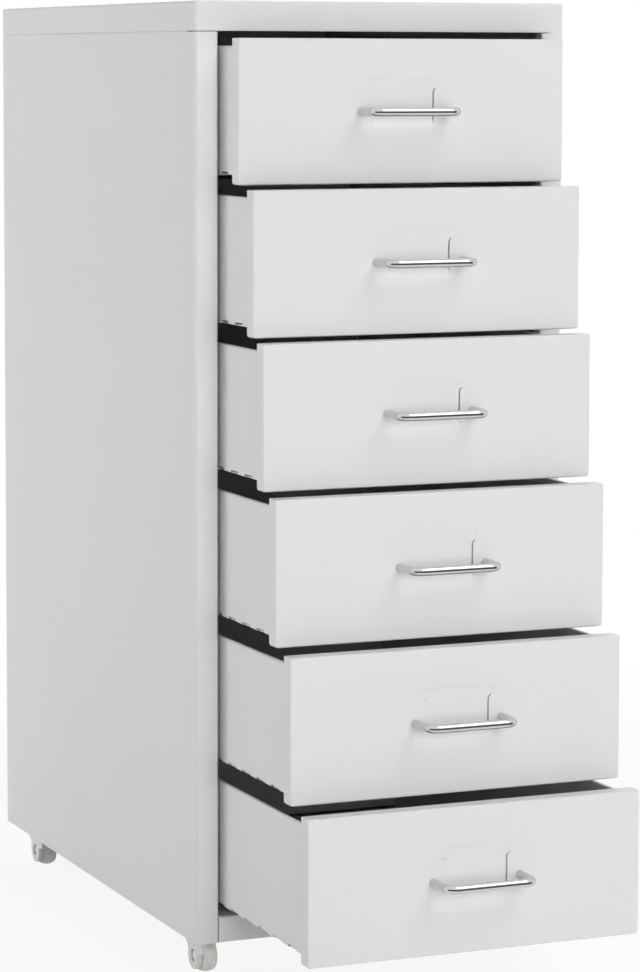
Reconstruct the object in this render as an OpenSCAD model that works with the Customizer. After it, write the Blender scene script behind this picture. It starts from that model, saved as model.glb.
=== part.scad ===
// Small sheet-steel drawer cabinet on casters, with six drawers standing open in a cascade.
// Millimetres. The origin is on the floor under the middle of the cabinet; the drawers open towards -Y.

/* [Cabinet] */
// Width over the side panels
cab_w = 280; // [240:1:400]
// Depth over the front flanges and the rear flanges, without the screw heads
cab_d = 430; // [400:1:600]
// Thickness of the cabinet's steel sheet
sheet_t = 0.8; // [0.6:0.1:1.2]
// Outer radius of the folds in the cabinet's sheet
fold_r = 1.8; // [1.6:0.1:4]
// Width of the flange that each side panel turns in at the front
front_flange_w = 16.5; // [12:0.5:25]
// Depth of the lip behind that flange
front_return = 9; // [6:0.5:10]
// Width of the flange that each side panel turns in at the back
rear_flange_w = 14; // [11:0.5:20]
// Height of the cover's lip
cover_lip_h = 20.5; // [15:0.5:30]
// Height of the rail under the bottom drawer
rail_h = 18.5; // [16:0.5:40]
// Height of the cabinet's lower edge above the floor
ground_gap = 31; // [30:0.5:60]

/* [Drawers] */
// How far each drawer stands open, from the top one down
open_by = [35, 62, 80, 102, 128, 158]; // [0:1:300]
// How far a drawer can be pulled out before its ears meet the cabinet's lips
travel = 300; // [200:1:320]
// Height of a drawer front
front_h = 99.5; // [90:0.5:140]
// Gap between one drawer front and the next
front_gap = 2.5; // [1:0.1:4]
// Gap between the top drawer front and the cover
top_gap = 5; // [2:0.5:10]
// Gap between the bottom drawer front and the rail under it
rail_gap = 1.5; // [1:0.1:4]
// Gap between a drawer front and the flange beside it
front_side_gap = 1; // [0.5:0.1:2]
// Depth of the drawer front's folded edges
front_depth = 11.5; // [9:0.5:14]
// Outer radius of the drawer front's folds
front_r = 1.2; // [1.2:0.1:3]
// Radius of the lower corners of the drawer front's outline
front_corner_r = 2.2; // [1:0.1:5]
// Length of a drawer tray
tray_d = 400; // [360:1:405]
// Drop from the top of a drawer front to the tray's rim
tray_drop = 5; // [4:0.5:12]
// Rise from the bottom of a drawer front to the tray's floor
tray_rise = 6.5; // [5:0.5:12]
// Thickness of the tray's steel sheet
tray_t = 0.8; // [0.6:0.1:1.2]
// Outer radius of the tray's folds
tray_r = 1.5; // [1.3:0.1:2]
// Width of the tray's folded rim
rim_w = 3.2; // [3.1:0.1:5]
// Height of the lip that hangs from the rim
rim_h = 6; // [4:0.5:10]

/* [Perforated fold lines] */
// Distance from one slot to the next along a fold line
slot_pitch = 26; // [20:1:40]
// Length of a slot
slot_l = 14.5; // [8:0.5:18]
// Height of a slot
slot_h = 2.2; // [1.8:0.1:4]

/* [Label pocket] */
// Width of the pressed pocket
pocket_w = 57; // [40:0.5:57]
// Height of the pressed pocket
pocket_h = 34.5; // [24:0.5:45]
// Depth of the pressed pocket at its foot
pocket_depth = 2; // [1:0.1:3]
// Share of that depth that the pocket has at its top
pocket_top_share = 0.45; // [0.3:0.05:1]
// Drop from the top of the drawer front to the pocket
pocket_drop = 25.7; // [20:0.1:35]
// Width of the pocket's sloping sides
pocket_side = 4.5; // [3:0.5:8]
// Height of the pocket's sloping top
pocket_top_slope = 3.5; // [2:0.5:6]
// Height of the pocket's sloping foot
pocket_foot_slope = 6.5; // [2:0.5:8]
// Width of the slit beside each card tab
slit_w = 0.4; // [0.3:0.1:1.5]

/* [Handle] */
// Distance between the two screws of a handle
handle_pitch = 64; // [60:1:128]
// Diameter of the handle's wire
wire_d = 6; // [5:0.5:10]
// Distance from the drawer front to the middle of the handle's bar
handle_reach = 24; // [20:1:40]
// Radius of the handle's bends, on the middle of the wire
handle_r = 8; // [7:0.5:12]
// Drop from the top of the drawer front to the handle
handle_drop = 50; // [40:1:60]
// Diameter of the handle's screws
handle_screw_d = 4; // [3:0.5:4]

/* [Runners] */
// Width of the ledge that a tray slides on
ledge_w = 10; // [6:0.5:16]
// Height of the riser that guides the side of a tray
riser_h = 8; // [6:0.5:14]
// Height of the web that is welded to the side panel
web_h = 15; // [8:1:24]
// Gap between the riser and the side of a tray
guide_gap = 0.8; // [0.5:0.1:1.5]
// Gap under a tray
slide_gap = 0.3; // [0.2:0.1:0.6]

/* [Casters] */
// Distance from the cabinet's side to a caster's stem
caster_inset_x = 23; // [23:0.5:60]
// Distance from the cabinet's front or back to a caster's stem
caster_inset_y = 37; // [30:0.5:80]
// Diameter of a caster's wheel
wheel_d = 24; // [20:0.5:25]
// Width of a caster's wheel
wheel_w = 11; // [9:0.1:14]
// Distance from the stem's axis back to the axle
trail = 6.5; // [4:0.5:8]
// Diameter of the axle
axle_d = 4; // [3:0.5:5]
// Thickness of the one cheek that carries the axle
cheek_t = 3.4; // [2.8:0.1:4.5]
// How far the hood reaches before the wheel and behind it
hood_reach = 4.7; // [3:0.1:5]
// Diameter of the stud that passes through the floor pan
stud_d = 8; // [6:0.5:8]

/* [Hidden] */
drawer_count = 6;
sides = ["left", "right"];
function numbered(name, count) = [for (i = [1:count]) str(name, "_", i)];
$fn = 48;
cut = 1;             // how far a cutting solid runs past the face that it cuts
fold_steps = 6;      // flats in a fold of a quarter turn
fit = 0.05;          // radial clearance round a pin
hole_fit = 0.15;     // radial clearance round a screw

// Stack of fronts, and the cabinet's height from it
pitch = front_h + front_gap;
body_h = cover_lip_h + top_gap + drawer_count * pitch - front_gap + rail_gap + rail_h;
cab_top = ground_gap + body_h;
lip_z = cab_top - cover_lip_h;
seam = 0.5;
wall_top = lip_z - seam;
face_y = -cab_d / 2;
rear_y = cab_d / 2;
lip_y = face_y + front_return;
function front_top(i) = lip_z - top_gap - (i - 1) * pitch;

// Widths, from the outside in
wall_x = cab_w / 2 - sheet_t;
opening_x = cab_w / 2 - front_flange_w;
front_w = 2 * (opening_x - front_side_gap);
tray_x = front_w / 2 - sheet_t;
riser_x = tray_x + guide_gap + sheet_t;

// Side panel's tongue inside the cover
tongue_gap = 0.1;
tongue_x = wall_x - tongue_gap;
tongue_flange_w = 12;
tongue_setback = 10;

// Floor pan
floor_z = ground_gap + rail_h;
pan_z = floor_z - sheet_t;
rail_x = opening_x - 0.3;
rail_return = 6;
rail_tab_margin = 2;
pan_gap = 0.5;

// Back panel and its screws
back_y = rear_y - 2 * sheet_t;
back_x = cab_w / 2 - fold_r - 0.4;
back_margin = 1;
back_screw_x = cab_w / 2 - rear_flange_w / 2;
back_screw_d = 4;
back_screw_l = 8;
back_head_d = 7.5;
back_head_h = 2.2;
rail_screw_d = 3;
rail_screw_l = 5;
rail_head_d = 5.5;
rail_head_h = 1.8;
rail_screw_y = face_y + front_return / 2 + 0.7;

// Tray, in the drawer's own frame: y = 0 is the front's face, z = 0 its top
front_top_r = 0.6;
tray_y = front_r;
tray_top = -tray_drop;
tray_floor = -front_h + tray_rise;
tray_end = tray_y + tray_d;
tray_flange_h = 14;
tray_back_lip = 6;
slot_start = tray_y + 20.5;
slot_reach = 2;
slot_margin = 8;
stop_gap = 0.5;
ear_y = front_return + stop_gap + travel;
ear_w = 8;
ear_h = 12;
ear_drop = 4;
ear_window = 10;

// Handle screws
screw_head_d = 6.8;
screw_head_h = 2.4;
screw_l = 8.8;
screw_hole_l = 10;

// Card tabs beside the pocket
tab_x = pocket_w / 2 - 5.7;
tab_foot = pocket_drop + pocket_h;
tab_low = tab_foot - 4.9;
tab_high = pocket_drop + 10.5;
hook_w = 1.4;
hook_h = 2;

// Runners
runner_front = face_y + front_depth + 1;
runner_back = back_y - 1;

// Caster, in its own frame: the stem's axis is x = y = 0 and the floor is z = 0
caster_x = cab_w / 2 - caster_inset_x;
caster_y = cab_d / 2 - caster_inset_y;
axle_z = wheel_d / 2;
wheel_gap = 0.3;
cheek_in = wheel_w / 2 + wheel_gap;
cheek_out = cheek_in + cheek_t;
cheek_r = wheel_d / 2 - 2.3;
roof_x = wheel_w / 2 + 2.5;
roof_z = wheel_d + 1.2;
collar_t = 3;
collar_d = 20;
swivel_gap = 0.2;
boss_top = pan_z - collar_t - swivel_gap;
boss_d = 15;
hood_top = ground_gap - 1;
pivot_d = 7;
rivet_d = 9.6;
rivet_h = 1.2;
rivet_z = wheel_d + 1.6;
nut_h = 4;
nut_af = 13;
stud_end = 0.9;
recess_d = 9.2;
recess_h = 1.6;
axle_head_d = 6;
axle_head_h = 0.8;
hood_side_r = 3.5;
crown = 1.6;

paint = [0.89, 0.89, 0.88];
chrome = [0.78, 0.79, 0.80];
zinc = [0.66, 0.67, 0.68];
plastic = [0.90, 0.90, 0.89];
rubber = [0.62, 0.64, 0.61];

// ---- Outlines with rounded corners ----
function unit(v) = v / norm(v);
function left_of(v) = [-v[1], v[0]];
function turn(a, b, c) = cross(b - a, c - b);
function wrap(angle) = angle > 180 ? angle - 360 : angle < -180 ? angle + 360 : angle;

// The arc of radius r that rounds corner b between a and c
function corner_arc(a, b, c, r) = r <= 0 ? [b] :
    let (
        u = unit(a - b),
        v = unit(c - b),
        half = acos(u * v) / 2,
        centre = b + unit(u + v) * r / sin(half),
        from = b + u * r / tan(half) - centre,
        to = b + v * r / tan(half) - centre,
        start = atan2(from[1], from[0]),
        sweep = wrap(atan2(to[1], to[0]) - start),
        steps = max(1, round(abs(sweep) / 90 * fold_steps))
    )
    [for (k = [0:steps]) centre + r * [cos(start + sweep * k / steps), sin(start + sweep * k / steps)]];

// A closed outline with its own radius at each corner
function rounded_loop(points, radii) =
    let (n = len(points))
    [for (i = [0:n - 1]) each corner_arc(points[(i + n - 1) % n], points[i], points[(i + 1) % n], radii[i])];

// An open path with one radius for left turns and one for right turns
function rounded_path(points, left_r, right_r) =
    let (last = len(points) - 1)
    [for (i = [0:last]) each i == 0 || i == last ? [points[i]] :
        corner_arc(points[i - 1], points[i], points[i + 1],
                   turn(points[i - 1], points[i], points[i + 1]) > 0 ? left_r : right_r)];

// The same path moved to its left by a distance
function offset_path(points, distance) =
    let (last = len(points) - 1)
    [for (i = [0:last])
        let (
            ahead = unit(points[min(i + 1, last)] - points[min(i, last - 1)]),
            behind = unit(points[max(i, 1)] - points[max(i - 1, 0)]),
            normal = unit(left_of(ahead) + left_of(behind))
        )
        points[i] + normal * distance / (normal * left_of(ahead))];

function reversed(list) = [for (i = [len(list) - 1:-1:0]) list[i]];

// Section of a folded sheet: the path is one face, and the sheet's thickness lies to its left
module sheet_section(path, t, r) {
    polygon(concat(
        rounded_path(path, r, r - t),
        reversed(rounded_path(offset_path(path, t), r - t, r))
    ));
}

module rounded_rect(x0, x1, y0, y1, radii) {
    polygon(rounded_loop([[x0, y0], [x1, y0], [x1, y1], [x0, y1]], radii));
}

// ---- Placing ----
// A section in X and Z, run along Y
module along_y(from, length) {
    translate([0, from + length, 0])
        rotate([90, 0, 0])
            linear_extrude(length)
                children();
}

// A section in Y and Z, run along X
module along_x(from, length) {
    translate([from, 0, 0])
        rotate([90, 0, 90])
            linear_extrude(length)
                children();
}

module on_side(side) {
    if (side == "left")
        mirror([1, 0, 0]) children();
    else
        children();
}

module on_both_sides() {
    for (side = sides)
        on_side(side) children();
}

module at_drawer(i) {
    translate([0, face_y - open_by[i - 1], front_top(i)]) children();
}

// Casters 1 and 2 are at the front, 3 and 4 at the back; odd ones are on the left
function caster_at(i) = [i % 2 == 1 ? -caster_x : caster_x, i <= 2 ? -caster_y : caster_y, 0];

module at_caster(i) {
    translate(caster_at(i)) children();
}

// A pan's outer form: its face is y = 0 and z runs from -h to 0. The folds have radius r, and the corners
// of the outline have low_r and high_r
module pan_form(w, d, h, r, low_r, high_r) {
    intersection() {
        translate([0, 0, -h])
            linear_extrude(h)
                rounded_rect(-w / 2, w / 2, 0, d, [r, r, 0, 0]);
        along_x(-w / 2, w)
            rounded_rect(0, d, -h, 0, [r, 0, 0, r]);
        along_y(0, d)
            rounded_rect(-w / 2, w / 2, -h, 0, [low_r, low_r, high_r, high_r]);
    }
}

// A pan of sheet: the form less the same form one thickness in, open at the back
module pan_shell(w, d, h, r, low_r, high_r, t) {
    difference() {
        pan_form(w, d, h, r, low_r, high_r);
        translate([0, t, -t])
            pan_form(w - 2 * t, d, h - 2 * t, r - t, low_r - t, high_r - t);
    }
}

// ---- Cabinet ----
module cover() {
    color(paint)
        translate([0, 0, cab_top])
            rotate([-90, 0, 0])
                translate([0, 0, cab_d / 2])
                    pan_shell(cab_w, cover_lip_h, cab_d, fold_r, fold_r, fold_r, sheet_t);
}

// The side panel's section, for the right side
module side_section() {
    sheet_section([
        [opening_x, lip_y],
        [opening_x, face_y],
        [cab_w / 2, face_y],
        [cab_w / 2, rear_y],
        [cab_w / 2 - rear_flange_w, rear_y]
    ], sheet_t, fold_r);
}

module side_tongue() {
    from = lip_y + tongue_setback;
    length = back_y - tongue_setback - from;
    top = cab_top - sheet_t;
    along_y(from, length) {
        translate([tongue_x - sheet_t, wall_top - sheet_t])
            square([cab_w / 2 - tongue_x + sheet_t, sheet_t]);
        sheet_section([
            [tongue_x, wall_top - sheet_t],
            [tongue_x, top],
            [tongue_x - tongue_flange_w, top]
        ], sheet_t, fold_r);
    }
}

module side_panel(side) {
    color(paint)
        on_side(side)
            difference() {
                union() {
                    translate([0, 0, ground_gap])
                        linear_extrude(wall_top - ground_gap)
                            side_section();
                    side_tongue();
                }
                back_screw_holes();
                rail_screw_holes();
            }
}

// One screw a side behind each drawer, clear of the runners
module at_back_screws() {
    for (i = [1:drawer_count])
        translate([back_screw_x, rear_y, front_top(i) - front_h / 2])
            rotate([-90, 0, 0])
                children();
}

module at_rail_screw() {
    translate([rail_x - sheet_t, rail_screw_y, ground_gap + rail_h / 2])
        rotate([0, 90, 0])
            children();
}

module back_screw_holes() {
    at_back_screws()
        translate([0, 0, -back_screw_l])
            cylinder(d = back_screw_d + 2 * hole_fit, h = back_screw_l + cut);
}

module rail_screw_holes() {
    at_rail_screw()
        translate([0, 0, -cut])
            cylinder(d = rail_screw_d + 2 * hole_fit, h = rail_screw_l + cut);
}

module back_panel() {
    color(paint)
        difference() {
            translate([-back_x, back_y, ground_gap + back_margin])
                cube([2 * back_x, sheet_t, cab_top - fold_r - ground_gap - 2 * back_margin]);
            on_both_sides() back_screw_holes();
        }
}

// The floor pan, with the rail as its front skirt
module base_panel() {
    plate_y = lip_y + pan_gap;
    skirt_back = back_y - fold_r;
    color(paint)
        difference() {
            union() {
                along_x(-rail_x, 2 * rail_x)
                    sheet_section([
                        [plate_y + fold_r, floor_z],
                        [face_y, floor_z],
                        [face_y, ground_gap],
                        [face_y + rail_return, ground_gap]
                    ], sheet_t, fold_r);
                translate([0, 0, pan_z])
                    linear_extrude(sheet_t)
                        rounded_rect(-wall_x, wall_x, plate_y, back_y, [0, 0, fold_r, fold_r]);
                translate([-wall_x + fold_r, back_y - sheet_t, ground_gap])
                    cube([2 * (wall_x - fold_r), sheet_t, rail_h - sheet_t / 2]);
                on_both_sides() {
                    translate([wall_x - sheet_t, plate_y, ground_gap])
                        cube([sheet_t, skirt_back - plate_y, rail_h - sheet_t / 2]);
                    translate([rail_x - sheet_t, face_y + sheet_t, ground_gap + rail_tab_margin])
                        cube([sheet_t, front_return - sheet_t, rail_h - 2 * rail_tab_margin]);
                }
            }
            on_both_sides() rail_screw_holes();
            for (i = [1:4])
                at_caster(i)
                    translate([0, 0, pan_z - cut])
                        cylinder(d = stud_d + 2 * hole_fit, h = sheet_t + 2 * cut);
        }
}

// A runner's section for the right side: ledge, riser, shelf and web. Its z = 0 is the tray's underside
module runner_section() {
    under = -slide_gap - sheet_t;
    shelf = under + riser_h;
    sheet_section([
        [riser_x - ledge_w, under],
        [riser_x, under],
        [riser_x, shelf],
        [wall_x, shelf],
        [wall_x, shelf + web_h]
    ], sheet_t, tray_r);
}

module runner(side, i) {
    color(paint)
        on_side(side)
            translate([0, 0, front_top(i) + tray_floor])
                along_y(runner_front, runner_back - runner_front)
                    runner_section();
}

module pan_head_screw(d, l, head_d, head_h) {
    rotate_extrude()
        polygon(rounded_loop(
            [[0, -l], [d / 2, -l], [d / 2, 0], [head_d / 2, 0], [head_d / 2, head_h], [0, head_h]],
            [0, 0.4, 0, 0, head_h * 0.7, 0]
        ));
}

module panel_screws() {
    color(zinc)
        on_both_sides() {
            at_back_screws()
                pan_head_screw(back_screw_d, back_screw_l, back_head_d, back_head_h);
            at_rail_screw()
                mirror([0, 0, 1])
                    pan_head_screw(rail_screw_d, rail_screw_l, rail_head_d, rail_head_h);
        }
}

// ---- Drawer ----
// The pocket's form: wide at y = 0 and one slope narrower at its floor, which leans
module pocket_form(lead) {
    half_w = pocket_w / 2;
    half_h = pocket_h / 2;
    translate([0, 0, -pocket_drop - half_h])
        intersection() {
            translate([0, 0, -half_h])
                linear_extrude(pocket_h)
                    polygon([
                        [-half_w, -lead], [half_w, -lead], [half_w, 0],
                        [half_w - pocket_side, pocket_depth],
                        [-half_w + pocket_side, pocket_depth], [-half_w, 0]
                    ]);
            along_x(-half_w, pocket_w)
                polygon([
                    [-lead, -half_h], [0, -half_h], [pocket_depth, -half_h + pocket_foot_slope],
                    [pocket_depth * pocket_top_share, half_h - pocket_top_slope], [0, half_h],
                    [-lead, half_h]
                ]);
        }
}

// The slit runs up the tab's inner edge and hooks outwards over its top
module slit_outline() {
    edge = [[tab_x, -tab_low], [tab_x, -tab_high], [tab_x + hook_w, -tab_high + hook_h]];
    polygon(concat(edge, reversed(offset_path(edge, slit_w))));
}

module tab_outline() {
    polygon([
        [tab_x, -tab_foot], [pocket_w / 2, -tab_foot], [pocket_w / 2, -tab_high + hook_h],
        [tab_x + hook_w, -tab_high + hook_h], [tab_x, -tab_high]
    ]);
}

module at_handle_screws() {
    for (side = [-1, 1])
        translate([side * handle_pitch / 2, 0, -handle_drop])
            rotate([90, 0, 0])
                children();
}

module drawer_front(i) {
    color(paint)
        at_drawer(i) {
            difference() {
                union() {
                    pan_shell(front_w, front_depth, front_h, front_r, front_corner_r, front_top_r, sheet_t);
                    translate([0, sheet_t, 0]) pocket_form(sheet_t / 2);
                }
                pocket_form(cut);
                on_both_sides()
                    along_y(-cut, 2 * cut + pocket_depth + sheet_t) slit_outline();
                at_handle_screws()
                    translate([0, 0, -2 * cut])
                        cylinder(d = handle_screw_d + 2 * hole_fit, h = 4 * cut);
            }
            on_both_sides()
                along_y(0, sheet_t) tab_outline();
        }
}

// Slots along a fold line: each is a box that opens the fold
module side_fold_slots() {
    count = floor((tray_end - slot_margin - slot_start + slot_pitch - slot_l) / slot_pitch);
    for (k = [0:count - 1])
        translate([tray_x - slot_reach, slot_start + k * slot_pitch, tray_floor - cut])
            cube([slot_reach + cut, slot_l, slot_h + cut]);
}

module rear_fold_slots() {
    count = floor((2 * tray_x - 2 * slot_margin - slot_l) / slot_pitch) + 1;
    first = -((count - 1) * slot_pitch + slot_l) / 2;
    for (k = [0:count - 1])
        translate([first + k * slot_pitch, tray_end - slot_reach, tray_floor - cut])
            cube([slot_l, slot_reach + cut, slot_h + cut]);
}

module drawer_tray(i) {
    rim_x = tray_x - rim_w;
    flange_x = tray_x - tray_r;
    color(paint)
        at_drawer(i)
            difference() {
                union() {
                    along_y(tray_y, tray_d)
                        sheet_section([
                            [-rim_x, tray_top - rim_h], [-rim_x, tray_top], [-tray_x, tray_top],
                            [-tray_x, tray_floor], [tray_x, tray_floor],
                            [tray_x, tray_top], [rim_x, tray_top], [rim_x, tray_top - rim_h]
                        ], tray_t, tray_r);
                    // Front flange, rear wall and the lip on its top
                    translate([-flange_x, sheet_t, tray_floor])
                        cube([2 * flange_x, tray_t, tray_flange_h]);
                    translate([-flange_x, sheet_t, tray_floor])
                        cube([2 * flange_x, tray_y, tray_t]);
                    translate([-tray_x + tray_t, tray_end - tray_t, tray_floor + tray_t / 2])
                        cube([2 * (tray_x - tray_t), tray_t, tray_top - tray_floor - tray_t]);
                    translate([-rim_x, tray_end - tray_back_lip, tray_top - 1.5 * tray_t])
                        cube([2 * rim_x, tray_back_lip, tray_t]);
                    on_both_sides()
                        translate([tray_x - tray_t, ear_y, tray_top - ear_drop - ear_h])
                            cube([tray_t + ear_w, tray_t, ear_h]);
                }
                on_both_sides() {
                    side_fold_slots();
                    translate([tray_x - tray_t - cut, ear_y + tray_t, tray_top - ear_drop - ear_h])
                        cube([tray_t + 2 * cut, ear_window, ear_h]);
                }
                rear_fold_slots();
            }
}

module handle(i) {
    leg = handle_reach - handle_r;
    bar = handle_pitch - 2 * handle_r;
    color(chrome)
        at_drawer(i)
            difference() {
                translate([0, 0, -handle_drop]) {
                    translate([-bar / 2, -handle_reach, 0])
                        rotate([0, 90, 0])
                            cylinder(d = wire_d, h = bar);
                    for (side = [-1, 1]) {
                        translate([side * handle_pitch / 2, 0, 0])
                            rotate([90, 0, 0])
                                cylinder(d = wire_d, h = leg);
                        translate([side * bar / 2, -leg, 0])
                            rotate([0, 0, side > 0 ? -90 : 180])
                                rotate_extrude(angle = 90)
                                    translate([handle_r, 0])
                                        circle(d = wire_d);
                    }
                }
                at_handle_screws()
                    translate([0, 0, -cut])
                        cylinder(d = handle_screw_d + 2 * fit, h = screw_hole_l + cut);
            }
}

module handle_screws(i) {
    color(zinc)
        at_drawer(i)
            at_handle_screws()
                translate([0, 0, -sheet_t])
                    mirror([0, 0, 1])
                        pan_head_screw(handle_screw_d, screw_l, screw_head_d, screw_head_h);
}

// ---- Casters ----
module caster_stem(i) {
    color(zinc)
        at_caster(i)
            rotate_extrude()
                polygon([
                    [0, rivet_z], [rivet_d / 2, rivet_z], [rivet_d / 2, rivet_z + rivet_h],
                    [pivot_d / 2, rivet_z + rivet_h], [pivot_d / 2, pan_z - collar_t],
                    [collar_d / 2, pan_z - collar_t], [collar_d / 2, pan_z],
                    [stud_d / 2, pan_z], [stud_d / 2, floor_z + nut_h + stud_end],
                    [0, floor_z + nut_h + stud_end]
                ]);
}

module caster_nuts() {
    color(zinc)
        for (i = [1:4])
            at_caster(i)
                translate([0, 0, floor_z])
                    difference() {
                        cylinder(d = nut_af / cos(30), h = nut_h, $fn = 6);
                        translate([0, 0, -cut])
                            cylinder(d = stud_d + 2 * fit, h = nut_h + 2 * cut);
                    }
}

// The hood's side outline: a roof over the wheel and one round cheek down to the axle
module hood_outline() {
    front = trail - wheel_d / 2 - hood_reach;
    back = trail + wheel_d / 2 + hood_reach;
    skirt = axle_z + 3.5;
    polygon(rounded_loop(
        [
            [front, hood_top], [front, skirt], [trail - cheek_r, skirt],
            [trail - cheek_r, axle_z - cheek_r], [trail + cheek_r, axle_z - cheek_r],
            [trail + cheek_r, axle_z + 5], [back, wheel_d - 1.5], [back, hood_top]
        ],
        [8, 1, 2, cheek_r - 0.01, cheek_r - 0.01, 5, 2, 5]
    ));
}

module caster_fork(i) {
    color(plastic)
        at_caster(i)
            difference() {
                union() {
                    intersection() {
                        along_x(-cheek_out, cheek_out + roof_x) hood_outline();
                        along_y(-30, 60)
                            rounded_rect(-cheek_out, roof_x, 0, hood_top,
                                         [0, 0, hood_side_r, hood_side_r]);
                    }
                    translate([0, 0, hood_top - cut])
                        cylinder(d = boss_d, h = boss_top - hood_top + cut);
                }
                // Room for the wheel, open below and on the side away from the cheek
                translate([-cheek_in, -30, -cut])
                    cube([cheek_in + roof_x + cut, 60, roof_z + cut]);
                // Pivot bore with its counterbore
                cylinder(d = pivot_d + 2 * fit, h = boss_top + cut);
                cylinder(d = rivet_d + 1, h = rivet_z + rivet_h + swivel_gap);
                // Axle bore with a round recess on its outer end
                translate([-cheek_out - cut, trail, axle_z])
                    rotate([0, 90, 0])
                        cylinder(d = axle_d + 2 * fit, h = cheek_t + 2 * cut);
                translate([-cheek_out - cut, trail, axle_z])
                    rotate([0, 90, 0])
                        cylinder(d = recess_d, h = recess_h + cut);
            }
}

module caster_axle(i) {
    left = -cheek_out + recess_h;
    right = cheek_in;
    color(zinc)
        at_caster(i)
            translate([0, trail, axle_z])
                rotate([0, 90, 0])
                    rotate_extrude()
                        polygon([
                            [0, left - axle_head_h], [axle_head_d / 2, left - axle_head_h],
                            [axle_head_d / 2, left], [axle_d / 2, left],
                            [axle_d / 2, right], [axle_head_d / 2, right],
                            [axle_head_d / 2, right + axle_head_h], [0, right + axle_head_h]
                        ]);
}

// The barrel tread's radius at a distance from the wheel's middle
function tread_r(x) =
    let (half = wheel_w / 2, arc = (half * half + crown * crown) / (2 * crown))
    wheel_d / 2 - arc + sqrt(arc * arc - x * x);

module caster_wheel(i) {
    half = wheel_w / 2;
    bore = axle_d / 2 + 0.08;
    hub = axle_d / 2 + 2.6;
    web = 0.8;
    color(rubber)
        at_caster(i)
            translate([0, trail, axle_z])
                rotate([0, 90, 0])
                    rotate_extrude()
                        polygon(concat(
                            [[bore, -half], [hub, -half], [hub + 0.8, -half + web],
                             [tread_r(half) - 2, -half + web], [tread_r(half) - 1.2, -half]],
                            [for (k = [-8:8]) [tread_r(half * k / 8), half * k / 8]],
                            [[tread_r(half) - 1.2, half], [tread_r(half) - 2, half - web],
                             [hub + 0.8, half - web], [hub, half], [bore, half]]
                        ));
}

cover();
for (side = sides)
    side_panel(side);
back_panel();
base_panel();
for (side = sides, i = [1:drawer_count])
    runner(side, i);
panel_screws();
caster_nuts();
for (i = [1:drawer_count]) {
    drawer_front(i);
    drawer_tray(i);
    handle(i);
    handle_screws(i);
}
for (i = [1:4]) {
    caster_stem(i);
    caster_fork(i);
    caster_axle(i);
    caster_wheel(i);
}
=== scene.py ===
"""The finished look of a small sheet-steel drawer cabinet on casters, built round its fixed frame."""

import functools
import math

import bmesh
import bpy
from bpy.props import FloatProperty, FloatVectorProperty, PointerProperty
from bpy.types import Operator, Panel, PropertyGroup
from mathutils import Matrix, Vector


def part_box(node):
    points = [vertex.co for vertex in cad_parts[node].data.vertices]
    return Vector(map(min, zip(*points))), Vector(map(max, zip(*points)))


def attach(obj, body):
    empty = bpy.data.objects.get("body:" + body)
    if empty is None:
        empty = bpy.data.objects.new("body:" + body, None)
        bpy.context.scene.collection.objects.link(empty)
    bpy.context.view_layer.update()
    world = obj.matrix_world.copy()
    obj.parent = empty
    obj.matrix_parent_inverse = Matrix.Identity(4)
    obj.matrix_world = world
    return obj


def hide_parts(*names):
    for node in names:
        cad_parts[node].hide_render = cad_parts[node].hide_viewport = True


bl_info = {
    "name": "Drawer Cabinet",
    "version": (1, 0, 0),
    "blender": (4, 5, 0),
    "location": "3D View > Sidebar > Cabinet",
    "description": "Builds a drawer cabinet of enamelled sheet steel",
    "category": "Object",
}

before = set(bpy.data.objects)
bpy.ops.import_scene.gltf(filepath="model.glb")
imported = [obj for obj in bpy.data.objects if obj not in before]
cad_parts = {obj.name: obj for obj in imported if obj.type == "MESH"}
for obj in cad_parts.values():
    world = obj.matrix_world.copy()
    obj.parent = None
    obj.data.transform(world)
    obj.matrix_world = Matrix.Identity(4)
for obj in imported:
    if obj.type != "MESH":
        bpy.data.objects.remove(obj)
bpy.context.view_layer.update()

MM = 0.001
DRAWERS = range(1, 7)
CASTERS = range(1, 5)
SIDES = {"left": -1, "right": 1}
FOLD_STEPS = 8
SMOOTH_ANGLE = math.radians(32)
BEVEL_ANGLE = math.radians(50)
CABINET = "cabinet"
ENAMEL = "white_enamel"
ZINC = "zinc_hardware"
CHROME = "chrome_wire"
NYLON = "white_plastic"

# Clearance between sheets, and how far welded sheets reach into each other
GAP = 0.1 * MM
LAP = 0.02 * MM


# ---- Settings ----

def number(name, description, default, low, high, **kind):
    return FloatProperty(name=name, description=description, default=default, min=low, max=high, **kind)


def length(name, description, *sizes):
    """A length, with its default and limits in millimetres."""
    return number(name, description, *[size * MM for size in sizes], precision=5, unit="LENGTH")


def power(name, description, default):
    return number(name, description, default, 0, 1000, unit="POWER")


def colour(name, description, *default):
    return FloatVectorProperty(
        name=name, description=description, default=default, min=0, max=1, size=3, subtype="COLOR")


def group(kind, name):
    return PointerProperty(type=kind, name=name, description=kind.__doc__)


class SheetSettings(PropertyGroup):
    """Sizes that every folded sheet of the cabinet shares"""
    thickness: length("Thickness", "Thickness of the steel sheet", 0.8, 0.4, 2)
    cabinet_fold: length("Cabinet fold", "Outer radius of the cabinet's folds", 1.8, 1, 6)
    tray_fold: length("Tray fold", "Outer radius of the folds of trays and runners", 1.5, 1, 4)
    edge_round: length("Edge round", "Rounding of the painted cut edges", 0.14, 0, 0.4)
    seam: length("Seam", "Open joint below the cover", 0.5, 0, 3)
    front_flange: length("Front flange", "Width of the side panels' front flange", 16.5, 10, 30)
    front_return: length("Front return", "Depth of the lip behind the front flange", 9, 4, 20)
    rear_flange: length("Rear flange", "Width of the side panels' rear flange", 14, 10, 30)


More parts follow.
